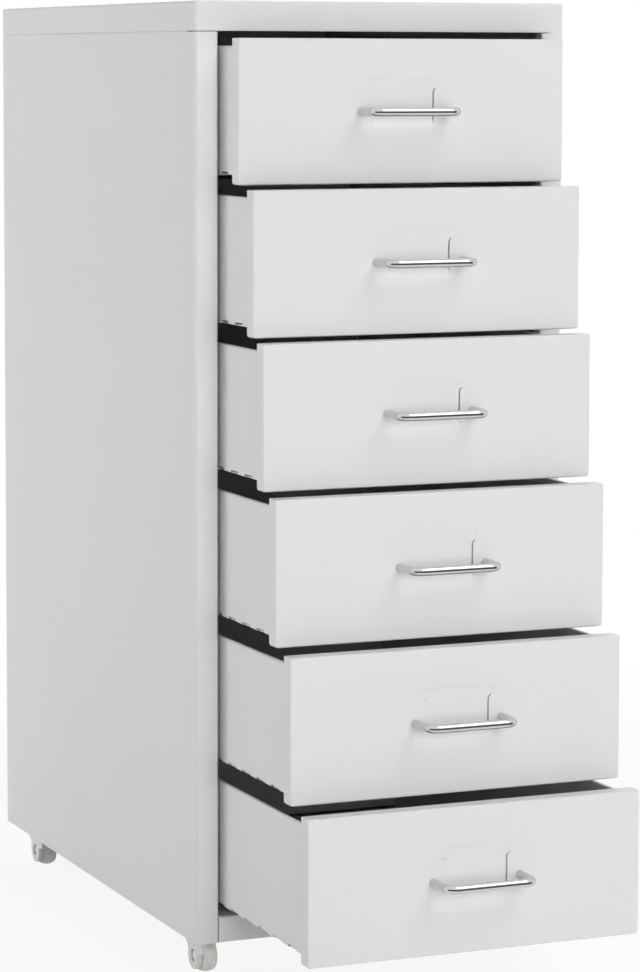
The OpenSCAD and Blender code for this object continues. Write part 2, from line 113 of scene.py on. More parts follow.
class FrontSettings(PropertyGroup):
    """Sizes of a drawer front and its pressed label pocket"""
    fold: length("Fold", "Outer radius of the front's folded edges", 1.2, 1, 4)
    low_corner: length("Lower corners", "Radius of the front's lower corners", 2.2, 0.5, 6)
    pocket_width: length("Pocket width", "Width of the pressed pocket", 57, 30, 90)
    pocket_height: length("Pocket height", "Height of the pressed pocket", 34.5, 20, 50)
    pocket_depth: length("Pocket depth", "Depth of the pocket at its foot", 2, 0.5, 4)
    pocket_top_share: number(
        "Pocket top share", "Share of that depth at the pocket's top", 0.45, 0.2, 1, subtype="FACTOR")
    pocket_drop: length("Pocket drop", "Drop from the front's top to the pocket", 25.7, 10, 50)
    pocket_side: length("Pocket side", "Width of the pocket's sloping sides", 4.5, 1, 10)
    pocket_top: length("Pocket top slope", "Height of the pocket's sloping top", 3.5, 1, 10)
    pocket_foot: length("Pocket foot slope", "Height of the pocket's sloping foot", 6.5, 1, 10)
    slit_width: length("Slit width", "Width of the slit that frees a card tab", 0.4, 0.3, 3)


class TraySettings(PropertyGroup):
    """Sizes of a drawer tray and its perforated fold lines"""
    rim_width: length("Rim width", "Width of the folded rim", 3.2, 2, 6)
    rim_lip: length("Rim lip", "Height of the lip that hangs from it", 6, 2, 12)
    rim_drop: length("Rim drop", "Drop from the front's top to the rim", 5, 0, 20)
    slot_pitch: length("Slot pitch", "Distance from slot to slot", 26, 10, 60)
    slot_length: length("Slot length", "Length of a slot", 14.5, 4, 30)
    slot_height: length("Slot height", "Height of a slot", 2.2, 1, 5)
    slot_start: length("Slot start", "Distance from the front's face to the first slot", 21.7, 5, 50)


class HandleSettings(PropertyGroup):
    """Sizes of a bent wire handle"""
    pitch: length("Screw pitch", "Distance between the handle's two legs", 64, 30, 200)
    wire: length("Wire", "Diameter of the wire", 6, 2, 12)
    reach: length("Reach", "Distance from the front to the middle of the bar", 24, 10, 50)
    bend: length("Bend", "Radius of the wire's middle in its bends", 8, 4, 20)
    drop: length("Drop", "Drop from the front's top to the handle", 50, 20, 90)


class FinishSettings(PropertyGroup):
    """Colours of the finishes"""
    enamel: colour("Enamel", "White stove enamel", 0.80, 0.80, 0.795)
    chrome: colour("Chrome", "Chrome plate of the handles", 0.60, 0.61, 0.62)
    zinc: colour("Zinc", "Zinc plate of screws, nuts and stems", 0.55, 0.56, 0.57)
    nylon: colour("Nylon", "Moulded hoods of the casters", 0.80, 0.80, 0.79)
    tread: colour("Tread", "Moulded wheels of the casters", 0.88, 0.88, 0.83)


class StageSettings(PropertyGroup):
    """Light, floor and camera"""
    key_power: power("Key light", "Power of the soft light above the front", 34)
    low_power: power("Low light", "Power of the soft light low before the front", 50)
    side_power: power("Side light", "Power of the soft light far out at the left", 97)
    top_power: power("Top light", "Power of the soft light high behind, at the right", 42)
    ambient: number("Ambient", "Strength of the even light from all round", 0.02, 0, 2)
    floor: colour("Floor", "Colour of the floor", 0.9, 0.9, 0.9)
    lens: number("Lens", "Focal length of the camera", 127.35, 20, 400, unit="CAMERA")


class CabinetSettings(PropertyGroup):
    """All settings of the cabinet"""
    sheet: group(SheetSettings, "Sheet")
    front: group(FrontSettings, "Front")
    tray: group(TraySettings, "Tray")
    handle: group(HandleSettings, "Handle")
    finish: group(FinishSettings, "Finish")
    stage: group(StageSettings, "Stage")


def settings():
    return bpy.context.scene.drawer_cabinet


# ---- Outlines in two dimensions ----

def corner_arc(before, corner, after, radius):
    """The points that round a corner of an outline with a radius."""
    if radius <= 0:
        return [corner.copy()]
    u = (before - corner).normalized()
    v = (after - corner).normalized()
    half = math.acos(max(-1, min(1, u.dot(v)))) / 2
    centre = corner + (u + v).normalized() * radius / math.sin(half)
    first = corner + u * radius / math.tan(half) - centre
    last = corner + v * radius / math.tan(half) - centre
    start = math.atan2(first.y, first.x)
    sweep = math.atan2(last.y, last.x) - start
    sweep -= 2 * math.pi * round(sweep / (2 * math.pi))
    count = max(1, round(abs(sweep) / (math.pi / 2) * FOLD_STEPS))
    angles = [start + sweep * k / count for k in range(count + 1)]
    return [centre + radius * Vector((math.cos(a), math.sin(a))) for a in angles]


def rounded_path(points, left_radius, right_radius):
    """An open path with one radius for its left turns and one for its right turns."""
    out = [points[0].copy()]
    for before, corner, after in zip(points, points[1:], points[2:]):
        left = (corner - before).cross(after - corner) > 0
        out += corner_arc(before, corner, after, left_radius if left else right_radius)
    return out + [points[-1].copy()]


def rounded_loop(points, radii):
    """A closed outline with its own radius at each corner."""
    out = []
    for i, corner in enumerate(points):
        out += corner_arc(points[i - 1], corner, points[(i + 1) % len(points)], radii[i])
    return out


def offset_path(points, distance):
    """An open path moved to its left."""
    last = len(points) - 1
    out = []
    for i, point in enumerate(points):
        ahead = (points[min(i + 1, last)] - points[min(i, last - 1)]).normalized()
        behind = (points[max(i, 1)] - points[max(i - 1, 0)]).normalized()
        normal = (ahead.orthogonal() + behind.orthogonal()).normalized()
        out.append(point + normal * distance / normal.dot(ahead.orthogonal()))
    return out


def flat_points(*pairs):
    return [Vector(pair) for pair in pairs]


def rectangle_ring(half_width, half_height, corners, centre_height):
    """A rectangle with round upper and lower corners, and the same number of points whatever its size."""
    points = flat_points(
        (half_width, half_height), (-half_width, half_height),
        (-half_width, -half_height), (half_width, -half_height))
    upper, lower = corners
    return [p + Vector((0, centre_height)) for p in rounded_loop(points, [upper, upper, lower, lower])]


# ---- Meshes ----

def add_strip(bm, first, second, closed=True):
    """Quads between two rows of vertices."""
    count = len(first)
    for i in range(count if closed else count - 1):
        j = (i + 1) % count
        bm.faces.new((first[i], first[j], second[j], second[i]))


def add_loft(bm, rings):
    """A closed solid through rings with equal numbers of points."""
    rows = [[bm.verts.new(p) for p in ring] for ring in rings]
    for first, second in zip(rows, rows[1:]):
        add_strip(bm, first, second)
    bm.faces.new(rows[0])
    bm.faces.new(rows[-1])


def add_sheet(bm, path, thickness, radius, place, start, stop):
    """A folded sheet: its path is one face, the thickness is to its left, and place(a, b, t) sets a point."""
    skins = (rounded_path(path, radius, radius - thickness),
             rounded_path(offset_path(path, thickness), radius - thickness, radius))
    rows = [[[bm.verts.new(place(p.x, p.y, t)) for p in skin] for skin in skins] for t in (start, stop)]
    for skin in range(2):
        add_strip(bm, rows[0][skin], rows[1][skin], closed=False)
    for end in range(2):
        add_strip(bm, rows[end][0], rows[end][1], closed=False)
    for edge in (0, -1):
        bm.faces.new((rows[0][0][edge], rows[1][0][edge], rows[1][1][edge], rows[0][1][edge]))


def add_pair(bm, outline, start, stop):
    """A straight solid along Y on a closed outline, and its mirror image."""
    for place in BOTH_SIDES:
        add_loft(bm, [[place(p.x, p.y, t) for p in outline] for t in (start, stop)])


def add_block(bm, low, high):
    """A rectangular bar between two corners."""
    low, high = Vector(low), Vector(high)
    size = high - low
    matrix = Matrix.Translation((low + high) / 2) @ Matrix.Diagonal((*size, 1))
    bmesh.ops.create_cube(bm, size=1, matrix=matrix)


def add_side_block(bm, sign, x, y, z):
    """A bar with a range in each direction, whose sign says on which side it is."""
    x = sorted(sign * value for value in x)
    add_block(bm, (x[0], y[0], z[0]), (x[1], y[1], z[1]))


def add_turned(bm, profile, segments, matrix=Matrix()):
    """A turned solid: (radius, height) pairs from axis to axis, or in a closed loop off the axis."""
    rows = []
    for radius, height in profile:
        if radius < 1e-7:
            rows.append([bm.verts.new(matrix @ Vector((0, 0, height)))])
            continue
        turns = [2 * math.pi * k / segments for k in range(segments)]
        rows.append([bm.verts.new(matrix @ Vector((radius * math.cos(a), radius * math.sin(a), height)))
                     for a in turns])
    pairs = list(zip(rows, rows[1:]))
    if len(rows[0]) > 1:
        pairs.append((rows[-1], rows[0]))
    for first, second in pairs:
        if len(first) == 1:
            first, second = second, first
        if len(second) == 1:
            for i, vert in enumerate(first):
                bm.faces.new((vert, first[(i + 1) % segments], second[0]))
        else:
            add_strip(bm, first, second)


# These place a point (a, b) of a section that runs along Y, along Z or along X

def across(x, z, y):
    return Vector((x, y, z))


def upright(x, y, z):
    return Vector((x, y, z))


def sideways(y, z, x):
    return Vector((x, y, z))


def mirrored(place):
    return lambda a, b, t: place(-a, b, t)


BOTH_SIDES = (across, mirrored(across))


def finish_mesh(mesh):
    """Smooth shading, kept sharp at the sharper edges."""
    mesh.shade_smooth()
    mesh.set_sharp_from_angle(angle=SMOOTH_ANGLE)
    return mesh


def linked(name, data):
    """A new object in the scene."""
    obj = bpy.data.objects.new(name, data)
    bpy.context.scene.collection.objects.link(obj)
    return obj


def make_object(name, bm, material=None):
    """A linked object from a bmesh, with outward faces and enamelled unless a material is given."""
    bmesh.ops.recalc_face_normals(bm, faces=bm.faces)
    mesh = bpy.data.meshes.new(name)
    bm.to_mesh(mesh)
    bm.free()
    mesh.materials.append(material or finish(ENAMEL))
    return linked(name, finish_mesh(mesh))


def settle(obj, shade=True):
    """Makes the modifiers' result the object's plain mesh."""
    graph = bpy.context.evaluated_depsgraph_get()
    mesh = bpy.data.meshes.new_from_object(
        obj.evaluated_get(graph), preserve_all_data_layers=True, depsgraph=graph)
    obj.modifiers.clear()
    obj.data = finish_mesh(mesh) if shade else mesh
    obj.data.name = obj.name
    return obj


def discard(obj):
    mesh = obj.data
    bpy.data.objects.remove(obj)
    bpy.data.meshes.remove(mesh)


def cut_away(obj, bm):
    """Takes the solids of a bmesh out of an object."""
    cutter = make_object(obj.name + "_cutter", bm, obj.data.materials[0])
    modifier = obj.modifiers.new("Cut", "BOOLEAN")
    modifier.operation = "DIFFERENCE"
    modifier.solver = "EXACT"
    modifier.object = cutter
    settle(obj)
    discard(cutter)


def round_edges(obj, width):
    """Rounds the sharp edges with a modifier, and settles it."""
    if width <= 0:
        return
    modifier = obj.modifiers.new("Edges", "BEVEL")
    modifier.width = width
    modifier.segments = 2
    modifier.limit_method = "ANGLE"
    modifier.angle_limit = BEVEL_ANGLE
    modifier.miter_outer = "MITER_ARC"
    settle(obj)


def level_shading(obj):
    """Lets the broad faces set the normals, so that flat sheet looks flat up to its rounded edges."""
    modifier = obj.modifiers.new("Level", "WEIGHTED_NORMAL")
    modifier.mode = "FACE_AREA"
    modifier.keep_sharp = True
    settle(obj, shade=False)


def dress(obj, body, slot, *nodes):
    """Says which body a piece rides on and the frame nodes that it stands for. Its slot, which names the
    finish, is not used.
    """
    level_shading(obj)
    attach(obj, body)
    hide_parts(*nodes)


def refine(node, name, body, slot, edge):
    """Puts a smoothly shaded copy in a node's place, with flat faces joined and edges rounded."""
    bm = bmesh.new()
    bm.from_mesh(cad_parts[node].data)
    bmesh.ops.remove_doubles(bm, verts=bm.verts, dist=0.002 * MM)
    bmesh.ops.dissolve_limit(bm, angle_limit=math.radians(0.5), verts=bm.verts, edges=bm.edges)
    obj = make_object(name, bm, finish(slot))
    round_edges(obj, edge)
    dress(obj, body, slot, node)


# ---- Geometry node trees ----

class Nodes:
    """A node tree, with short ways to add and join its nodes."""

    def __init__(self, tree):
        self.nodes, self.links = tree.nodes, tree.links

    def node(self, kind, joins=None, **values):
        """A node with its inputs joined to sockets or set to values."""
        node = self.nodes.new(kind)
        for label, value in values.items():
            setattr(node, label, value)
        for label, value in (joins or {}).items():
            socket = node.inputs[label]
            if isinstance(value, bpy.types.NodeSocket):
                self.links.new(value, socket)
            else:
                socket.default_value = value
        return node

    def add(self, kind, joins=None, **values):
        """The first output of such a node."""
        return self.node(kind, joins, **values).outputs[0]

    def calc(self, operation, a, b=0.5):
        """A math node on two sockets or numbers."""
        return self.add("ShaderNodeMath", {0: a, 1: b}, operation=operation)


class Tree(Nodes):
    """A geometry node tree with named inputs of each kind, besides its geometry and material."""

    def __init__(self, name, **inputs):
        self.group = bpy.data.node_groups.new(name, "GeometryNodeTree")
        super().__init__(self.group)
        face = self.group.interface
        for kind, labels in {"Geometry": ["Geometry"], "Material": ["Material"], **inputs}.items():
            for label in labels:
                face.new_socket(name=label, in_out="INPUT", socket_type="NodeSocket" + kind)
        face.new_socket(name="Geometry", in_out="OUTPUT", socket_type="NodeSocketGeometry")
        self.given = self.nodes.new("NodeGroupInput").outputs
        self.result = self.nodes.new("NodeGroupOutput").inputs

    def vector(self, x, y, z):
        return self.add("ShaderNodeCombineXYZ", {"X": x, "Y": y, "Z": z})

    def line(self, count, offset, start=(0, 0, 0)):
        return self.add("GeometryNodeMeshLine", {
            "Count": count, "Start Location": start, "Offset": offset})

    def copies(self, points, instance, **joins):
        return self.add("GeometryNodeInstanceOnPoints", {"Points": points, "Instance": instance, **joins})

    def join(self, *parts):
        node = self.nodes.new("GeometryNodeJoinGeometry")
        for part in parts:
            self.links.new(part, node.inputs[0])
        return node.outputs[0]

    def finish(self, geometry):
        """Ends the tree in realized instances with their material."""
        real = self.add("GeometryNodeRealizeInstances", {"Geometry": geometry})
        painted = self.add("GeometryNodeSetMaterial", {"Geometry": real, "Material": self.given["Material"]})
        self.links.new(painted, self.result["Geometry"])
        return self.group


def run_tree(obj, group, values):
    """Runs a tree on an object with its inputs set by identifier, and settles the result."""
    modifier = obj.modifiers.new("Build", "NODES")
    modifier.node_group = group
    for item in group.interface.items_tree:
        if item.name in values:
            modifier[item.identifier] = values[item.name]
    return settle(obj)


# How far a slot reaches across its fold
SLOT_REACH = 4 * MM


def slot_tree():
    """Cuts rows of slots along a tray's two side folds and its rear fold."""
    tree = Tree("Fold Slots", Int=["Side Count", "Rear Count"], Float=[
        "Half Width", "Back", "Floor", "Start", "Pitch", "Length", "Height"])
    given = tree.given
    double_height = tree.calc("MULTIPLY", given["Height"], 2)
    size = given["Length"]
    side_size = tree.vector(SLOT_REACH, size, double_height)
    rear_size = tree.vector(size, SLOT_REACH, double_height)
    side_cutter, rear_cutter = [
        tree.add("GeometryNodeMeshCube", {"Size": cut}) for cut in (side_size, rear_size)]
    middle = tree.calc("ADD", given["Start"], tree.calc("DIVIDE", size, 2))
    rows = []
    for side in (-1, 1):
        start = tree.vector(tree.calc("MULTIPLY", given["Half Width"], side), middle, given["Floor"])
        line = tree.line(given["Side Count"], tree.vector(0, given["Pitch"], 0), start)
        rows.append(tree.copies(line, side_cutter))
    spread = tree.calc("MULTIPLY", given["Pitch"], tree.calc("SUBTRACT", given["Rear Count"], 1))
    start = tree.vector(tree.calc("MULTIPLY", spread, -0.5), given["Back"], given["Floor"])
    line = tree.line(given["Rear Count"], tree.vector(given["Pitch"], 0, 0), start)
    rows.append(tree.copies(line, rear_cutter))
    cutters = tree.add("GeometryNodeRealizeInstances", {"Geometry": tree.join(*rows)})
    return tree.finish(tree.add("GeometryNodeMeshBoolean", {
        "Mesh 1": given["Geometry"], "Mesh 2": cutters}, operation="DIFFERENCE", solver="EXACT"))


def wire_tree():
    """Bends a round wire into a handle: two legs, two bends and a bar."""
    tree = Tree("Wire Handle", Float=["Pitch", "Reach", "Bend", "Wire"])
    given = tree.given
    line = tree.line(4, (10 * MM, 0, 0))
    from_middle = tree.calc("SUBTRACT", tree.add("GeometryNodeInputIndex"), 1.5)
    side = tree.calc("SIGN", from_middle, 0)
    is_bar = tree.calc("LESS_THAN", tree.calc("ABSOLUTE", from_middle, 0), 1)
    x = tree.calc("MULTIPLY", side, tree.calc("DIVIDE", given["Pitch"], 2))
    y = tree.calc("MULTIPLY", is_bar, tree.calc("MULTIPLY", given["Reach"], -1))
    placed = tree.add("GeometryNodeSetPosition", {"Geometry": line, "Position": tree.vector(x, y, 0)})
    curve = tree.add("GeometryNodeMeshToCurve", {"Mesh": placed})
    bent = tree.add("GeometryNodeFilletCurve", {
        "Curve": curve, "Count": 12, "Radius": given["Bend"], "Limit Radius": True}, mode="POLY")
    circle = tree.add("GeometryNodeCurvePrimitiveCircle", {
        "Resolution": 32, "Radius": tree.calc("DIVIDE", given["Wire"], 2)})
    wire = tree.add("GeometryNodeCurveToMesh", {"Curve": bent, "Profile Curve": circle, "Fill Caps": True})
    return tree.finish(wire)


def fastener_tree():
    """Sets a fastener on each point, turned to the point's facing."""
    tree = Tree("Fasteners", Object=["Fastener"])
    info = tree.node("GeometryNodeObjectInfo", {"Object": tree.given["Fastener"]})
    facing = tree.add("GeometryNodeInputNamedAttribute", {"Name": "facing"}, data_type="FLOAT_VECTOR")
    turned = tree.add("FunctionNodeAlignRotationToVector", {"Vector": facing}, axis="Z")
    return tree.finish(tree.copies(tree.given["Geometry"], info.outputs["Geometry"], Rotation=turned))


def row_tree():
    """Repeats a pair of runners at each drawer's height."""
    tree = Tree("Runner Rows", Int=["Rows"], Float=["Pitch"])
    step = tree.vector(0, 0, tree.calc("MULTIPLY", tree.given["Pitch"], -1))
    line = tree.line(tree.given["Rows"], step)
    return tree.finish(tree.copies(line, tree.given["Geometry"]))


# ---- Finishes ----

# Most of a noise pattern's values lie between these
NOISE_LOW, NOISE_HIGH = 0.3, 0.7
WARM = (1, 1, 0.97)


class Finish(Nodes):
    """A material with one Principled shader, fed from noise on Object coordinates."""

    def __init__(self, name, color, roughness, metallic=0.0, **fixed):
        self.material = bpy.data.materials.new(name)
        self.material.use_nodes = True
        self.material.diffuse_color = (*color, 1)
        super().__init__(self.material.node_tree)
        self.color = color
        self.shader = self.nodes["Principled BSDF"].inputs
        values = {"Base Color": (*color, 1), "Roughness": roughness, "Metallic": metallic, **fixed}
        for label, value in values.items():
            self.shader[label.replace("_", " ")].default_value = value
        self.place = self.node("ShaderNodeTexCoord").outputs["Object"]

    def noise(self, scale, detail, stretch=(1, 1, 1)):
        mapped = self.add("ShaderNodeMapping", {"Vector": self.place, "Scale": stretch})
        return self.add("ShaderNodeTexNoise", {"Vector": mapped, "Scale": scale, "Detail": detail})

    def vary_color(self, noise, share, tint=(1, 1, 1)):
        """Lets the colour drift by a share along a noise."""
        ramp = self.node("ShaderNodeValToRGB", {"Fac": self.noise(*noise)})
        stops = ramp.color_ramp.elements
        stops[0].position, stops[1].position = NOISE_LOW, NOISE_HIGH
        stops[0].color = (*[c * (1 - share) * t for c, t in zip(self.color, tint)], 1)
        stops[1].color = (*[min(1, c * (1 + share)) for c in self.color], 1)
        self.links.new(ramp.outputs["Color"], self.shader["Base Color"])

    def vary_roughness(self, noise, low, high):
        spread = self.add("ShaderNodeMapRange", {
            "Value": self.noise(*noise), "From Min": NOISE_LOW, "From Max": NOISE_HIGH,
            "To Min": low, "To Max": high})
        self.links.new(spread, self.shader["Roughness"])

    def bump(self, noise, height):
        """A grain, with its height in millimetres."""
        bumped = self.add("ShaderNodeBump", {"Height": self.noise(*noise), "Distance": height * MM})
        self.links.new(bumped, self.shader["Normal"])


@functools.cache
def finish(name):
    """The finish of that name, made once. Each noise is given by its scale, detail and stretch."""
    colours = settings().finish
    if name == ENAMEL:
        made = Finish(name, colours.enamel, 0.36)
        made.vary_color((5, 3), 0.006, (1, 1, 0.998))
        made.vary_roughness((14, 2), 0.33, 0.41)
        made.bump((620, 2), 0.012)
    elif name == CHROME:
        made = Finish(name, colours.chrome, 0.11, metallic=1.0)
        made.vary_color((60, 2), 0.02)
        made.vary_roughness((90, 3, (1, 6, 6)), 0.09, 0.15)
    elif name == ZINC:
        made = Finish(name, colours.zinc, 0.32, metallic=1.0)
        made.vary_color((220, 4), 0.10, WARM)
        made.vary_roughness((160, 3), 0.26, 0.42)
        made.bump((1500, 2), 0.01)
    elif name == NYLON:
        made = Finish(name, colours.nylon, 0.42, Subsurface_Weight=0.08, Subsurface_Scale=0.002)
        made.vary_color((80, 2), 0.01)
        made.vary_roughness((300, 2), 0.38, 0.48)
        made.bump((2400, 2), 0.006)
    else:
        made = Finish(name, colours.tread, 0.5)
        made.vary_color((260, 4), 0.10, WARM)
        made.vary_roughness((500, 2), 0.44, 0.6)
        made.bump((1900, 3), 0.02)
    return made.material


# ---- Cabinet ----

# The tongue's start behind the front lip, the width of its upper flange, and half the corner tab's height
TONGUE_START = 10 * MM
TONGUE_FLANGE = 12 * MM
TAB_HALF = 3 * MM

# Width of a runner's foot and height of its step
RUNNER_FOOT = 10 * MM
RUNNER_STEP = 8 * MM


def pan_profile(height, fold, sheet, edge):
    """The section of a folded pan from its outer face to its inner face, as (inset, depth) pairs."""
    quarter = [math.pi / 2 * k / FOLD_STEPS for k in range(FOLD_STEPS + 1)]
    outer = [(fold * (1 - math.sin(a)), fold * (1 - math.cos(a))) for a in quarter]
    inner_fold = fold - sheet
    inner = [(sheet + inner_fold * (1 - math.sin(a)), sheet + inner_fold * (1 - math.cos(a)))
             for a in reversed(quarter)]
    rim = [(0, height - edge), (edge * 0.3, height - edge * 0.3), (edge, height),
           (sheet - edge, height), (sheet - edge * 0.3, height - edge * 0.3), (sheet, height - edge)]
    return outer + rim + inner


def pan_rings(half_width, half_height, corners, section, centre=0.0):
    """Rings of a pan in its own plane, each with its depth."""
    return [(rectangle_ring(half_width - inset, half_height - inset,
                            [max(c - inset, 0.12 * MM) for c in corners], centre), depth)
            for inset, depth in section]


class CABINET_OT_cover(Operator):
    """Build the cover: a shallow pan that caps the cabinet"""
    bl_idname = "cabinet.cover"
    bl_label = "Cover"

    def execute(self, context):
        sheet = settings().sheet
        low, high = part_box("cover")
        centre = (low + high) / 2
        section = pan_profile(high.z - low.z, sheet.cabinet_fold, sheet.thickness, sheet.edge_round)
        rings = pan_rings((high.x - low.x) / 2, (high.y - low.y) / 2, [sheet.cabinet_fold] * 2, section)
        bm = bmesh.new()
        add_loft(bm, [[Vector((p.x + centre.x, p.y + centre.y, high.z - depth)) for p in ring]
                      for ring, depth in rings])
        dress(make_object("cover_sheet", bm), CABINET, ENAMEL, "cover")
        return {"FINISHED"}


class CABINET_OT_side_panels(Operator):
    """Build the two side panels with their folded flanges and the tongues inside the cover"""
    bl_idname = "cabinet.side_panels"
    bl_label = "Side Panels"

    def execute(self, context):
        sheet = settings().sheet
        cover_low, cover_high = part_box("cover")
        back_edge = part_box("back_panel")[1].x
        t = sheet.thickness
        for side, sign in SIDES.items():
            node = f"side_panel_{side}"
            low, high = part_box(node)
            half = high.x if sign > 0 else -low.x
            wall_top = cover_low.z - sheet.seam
            opening = half - sheet.front_flange
            place, tongue_place = [p if sign > 0 else mirrored(p) for p in (upright, across)]
            bm = bmesh.new()
            add_sheet(bm, flat_points(
                (opening, low.y + sheet.front_return), (opening, low.y), (half, low.y),
                (half, high.y), (half - sheet.rear_flange, high.y),
            ), t, sheet.cabinet_fold, place, low.z, wall_top)
            # The tongue steps in by a sheet's thickness and reaches up to the cover's underside,
            # and a tab beside it closes the seam's rear corner
            tongue = half - t - GAP
            top = cover_high.z - t
            run = (low.y + sheet.front_return + TONGUE_START, high.y - t - GAP)
            add_side_block(bm, sign, (tongue - t, half - t / 2), run, (wall_top - t, wall_top - LAP))
            add_side_block(bm, sign, (back_edge + GAP, tongue - t + LAP), (high.y - 2 * t, run[1]),
                           (wall_top - TAB_HALF, wall_top + TAB_HALF))
            add_sheet(bm, flat_points(
                (tongue, wall_top - t), (tongue, top), (tongue - TONGUE_FLANGE, top),
            ), t, sheet.cabinet_fold, tongue_place, *run)
            panel = make_object(f"{node}_sheet", bm)
            round_edges(panel, sheet.edge_round)
            dress(panel, CABINET, ENAMEL, node)
        return {"FINISHED"}


class CABINET_OT_panels(Operator):
    """Build the back panel and the floor pan with its front rail"""
    bl_idname = "cabinet.panels"
    bl_label = "Back and Floor"

    def execute(self, context):
        for node in ("back_panel", "base_panel"):
            refine(node, f"{node}_sheet", CABINET, ENAMEL, settings().sheet.edge_round)
        return {"FINISHED"}


class CABINET_OT_runners(Operator):
    """Build the folded runners on both sides of every drawer"""
    bl_idname = "cabinet.runners"
    bl_label = "Runners"

    def execute(self, context):
        sheet = settings().sheet
        low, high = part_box("runner_right_1")
        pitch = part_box("drawer_front_1")[1].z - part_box("drawer_front_2")[1].z
        riser = low.x + RUNNER_FOOT
        shelf = low.z + RUNNER_STEP
        bm = bmesh.new()
        for place in BOTH_SIDES:
            add_sheet(bm, flat_points(
                (low.x, low.z), (riser, low.z), (riser, shelf), (high.x, shelf), (high.x, high.z),
            ), sheet.thickness, sheet.tray_fold, place, low.y, high.y)
        runners = make_object("runner_sheets", bm)
        round_edges(runners, sheet.edge_round)
        run_tree(runners, row_tree(), {"Rows": len(DRAWERS), "Pitch": pitch, "Material": finish(ENAMEL)})
        dress(runners, CABINET, ENAMEL, *[f"runner_{side}_{n}" for side in SIDES for n in DRAWERS])
        return {"FINISHED"}


# ---- Fasteners ----

def screw_template(name, *sizes):
    """A pan-head screw with a cross recess: its shoulder is at the origin and its head points up."""
    length, shaft, head, height = [size * MM for size in sizes]
    bm = bmesh.new()
    dome = [(head / 2 * math.cos(a), height * (0.35 + 0.65 * math.sin(a)))
            for a in [math.pi / 2 * k / 6 for k in range(6)]]
    add_turned(bm, [(0, -length), (shaft / 2 * 0.8, -length), (shaft / 2, -length + 0.4 * MM),
                    (shaft / 2, 0), (head / 2, 0), *dome, (0, height)], 32)
    screw = make_object(name, bm, finish(ZINC))
    bm = bmesh.new()
    rings = []
    arm, width, depth = head * 0.28, head * 0.075, height * 0.55
    for share, z in ((1, height * 1.2), (0.65, height - depth)):
        a, w = arm * share, width * share
        rings.append([
            Vector((c * x - s * y, s * x + c * y, z))
            for c, s in ((1, 0), (0, 1), (-1, 0), (0, -1)) for x, y in ((a, -w), (a, w), (w, w))])
    add_loft(bm, rings)
    cut_away(screw, bm)
    return screw


def fasten(name, body, places, node, *sizes):
    """Sets a screw of a length, shaft, head and height in millimetres at each (point, facing) pair."""
    mesh = bpy.data.meshes.new(name)
    mesh.from_pydata([point for point, _ in places], [], [])
    facing = mesh.attributes.new("facing", "FLOAT_VECTOR", "POINT")
    facing.data.foreach_set("vector", [c for _, direction in places for c in direction])
    template = screw_template(f"{name}_template", *sizes)
    screws = run_tree(linked(name, mesh), fastener_tree(), {"Fastener": template, "Material": finish(ZINC)})
    discard(template)
    dress(screws, body, ZINC, node)


class CABINET_OT_screws(Operator):
    """Build the panel screws, and the nuts on the caster studs"""
    bl_idname = "cabinet.screws"
    bl_label = "Screws and Nuts"

    def execute(self, context):
        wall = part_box("side_panel_right")[1]
        rear_x = wall.x - settings().sheet.rear_flange / 2
        heights = [(low.z + high.z) / 2 for low, high in (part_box(f"drawer_front_{n}") for n in DRAWERS)]
        rear = [((sign * rear_x, wall.y, z), (0, 1, 0)) for sign in (-1, 1) for z in heights]
        fasten("rear_screws", CABINET, rear, "panel_screws", 8, 4, 7.5, 2.2)
        low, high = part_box("base_panel")
        rail_x = wall.x - settings().sheet.front_flange - 1.1 * MM
        rail = [((sign * rail_x, low.y + 5.2 * MM, (low.z + high.z) / 2), (-sign, 0, 0)) for sign in (-1, 1)]
        fasten("rail_screws", CABINET, rail, "panel_screws", 5, 3, 5.5, 1.8)
        refine("caster_nuts", "stud_nuts", CABINET, ZINC, 0.25 * MM)
        return {"FINISHED"}


# ---- Drawers ----

# The stop ears: their distance from the front's face, heights below the rim, reach and window's length
EAR_PLACE = 309.5 * MM
EAR_TOP, EAR_FOOT = 4 * MM, 16 * MM
EAR_REACH = 8 * MM
EAR_WINDOW = 10 * MM

# The slots' least distance from a fold line's end, the front tab's height and the rear rim's width
SLOT_MARGIN = 8 * MM
TAB_HEIGHT = 14 * MM
REAR_RIM = 6 * MM


def drawer_origin(number):
    """The middle of the top edge of a drawer front's face."""
    low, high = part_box(f"drawer_front_{number}")
    return Vector((0, low.y, high.z))


def place_copy(template, n, name, node, slot, drop=0.0):
    """Puts a copy of a template into a drawer, in a node's place."""
    obj = linked(f"{name}_{n}", template.data.copy())
    obj.data.name = obj.name
    obj.data.transform(Matrix.Translation(drawer_origin(n) - Vector((0, 0, drop))))
    dress(obj, f"drawer_{n}", slot, f"{node}_{n}")


def pocket_rings(shape, lift):
    """Rings down the pressed pocket's soft slope, from its mouth to its leaning floor."""
    foot = -shape.pocket_drop - shape.pocket_height
    out = []
    count = 12
    for k in range(count + 1):
        s = k / count
        share = 1.32 * s - 0.16
        top = -shape.pocket_drop - shape.pocket_top * share
        low = foot + shape.pocket_foot * share
        ring = rectangle_ring(
            shape.pocket_width / 2 - shape.pocket_side * share, (top - low) / 2,
            [(3.2 - 1.8 * s) * MM] * 2, (top + low) / 2)
        press = shape.pocket_depth * s * s * (3 - 2 * s)
        out.append([across(p.x, p.y, lift + press * (
            1 - (1 - shape.pocket_top_share) * (p.y - foot) / shape.pocket_height)) for p in ring])
    return out


